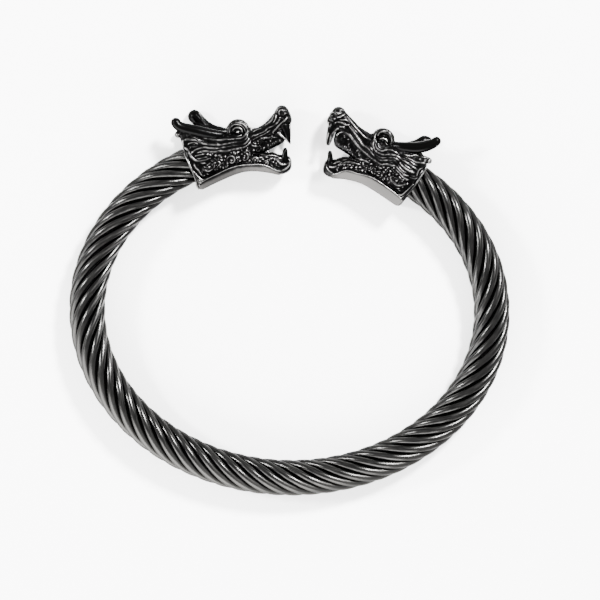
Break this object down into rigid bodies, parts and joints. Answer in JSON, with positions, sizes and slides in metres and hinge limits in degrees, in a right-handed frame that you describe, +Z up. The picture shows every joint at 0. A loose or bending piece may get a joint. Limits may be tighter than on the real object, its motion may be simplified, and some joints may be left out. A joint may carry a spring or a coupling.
{
  "type": "cable bangle",
  "caption": "Open bangle of dark twisted metal cable with a cast dragon head at each end, worn on the wrist through the gap between the heads.",
  "frame": {"origin": "middle of the bounding box at the level of the surface that the bangle lies on", "axes": "+X from the left head's side to the right head's side across the hoop, +Y towards the gap between the heads, +Z up along the hoop's axis, out of the bangle's side"},
  "size_m": [0.0749, 0.0666, 0.007],
  "materials": {
    "wire": "round drawn wire, blackened in the grooves and polished bright along its crests",
    "casting": "cast relief, blackened in its recesses, with bright worn edges and a satin grey underside"
  },
  "bodies": {
    "root": {"core": "wire", "strand_1": "wire", "strand_2": "wire", "strand_3": "wire", "strand_4": "wire", "strand_5": "wire", "strand_6": "wire", "strand_7": "wire", "strand_8": "wire", "strand_9": "wire", "left_head": "casting", "right_head": "casting"}
  },
  "joints": []
}
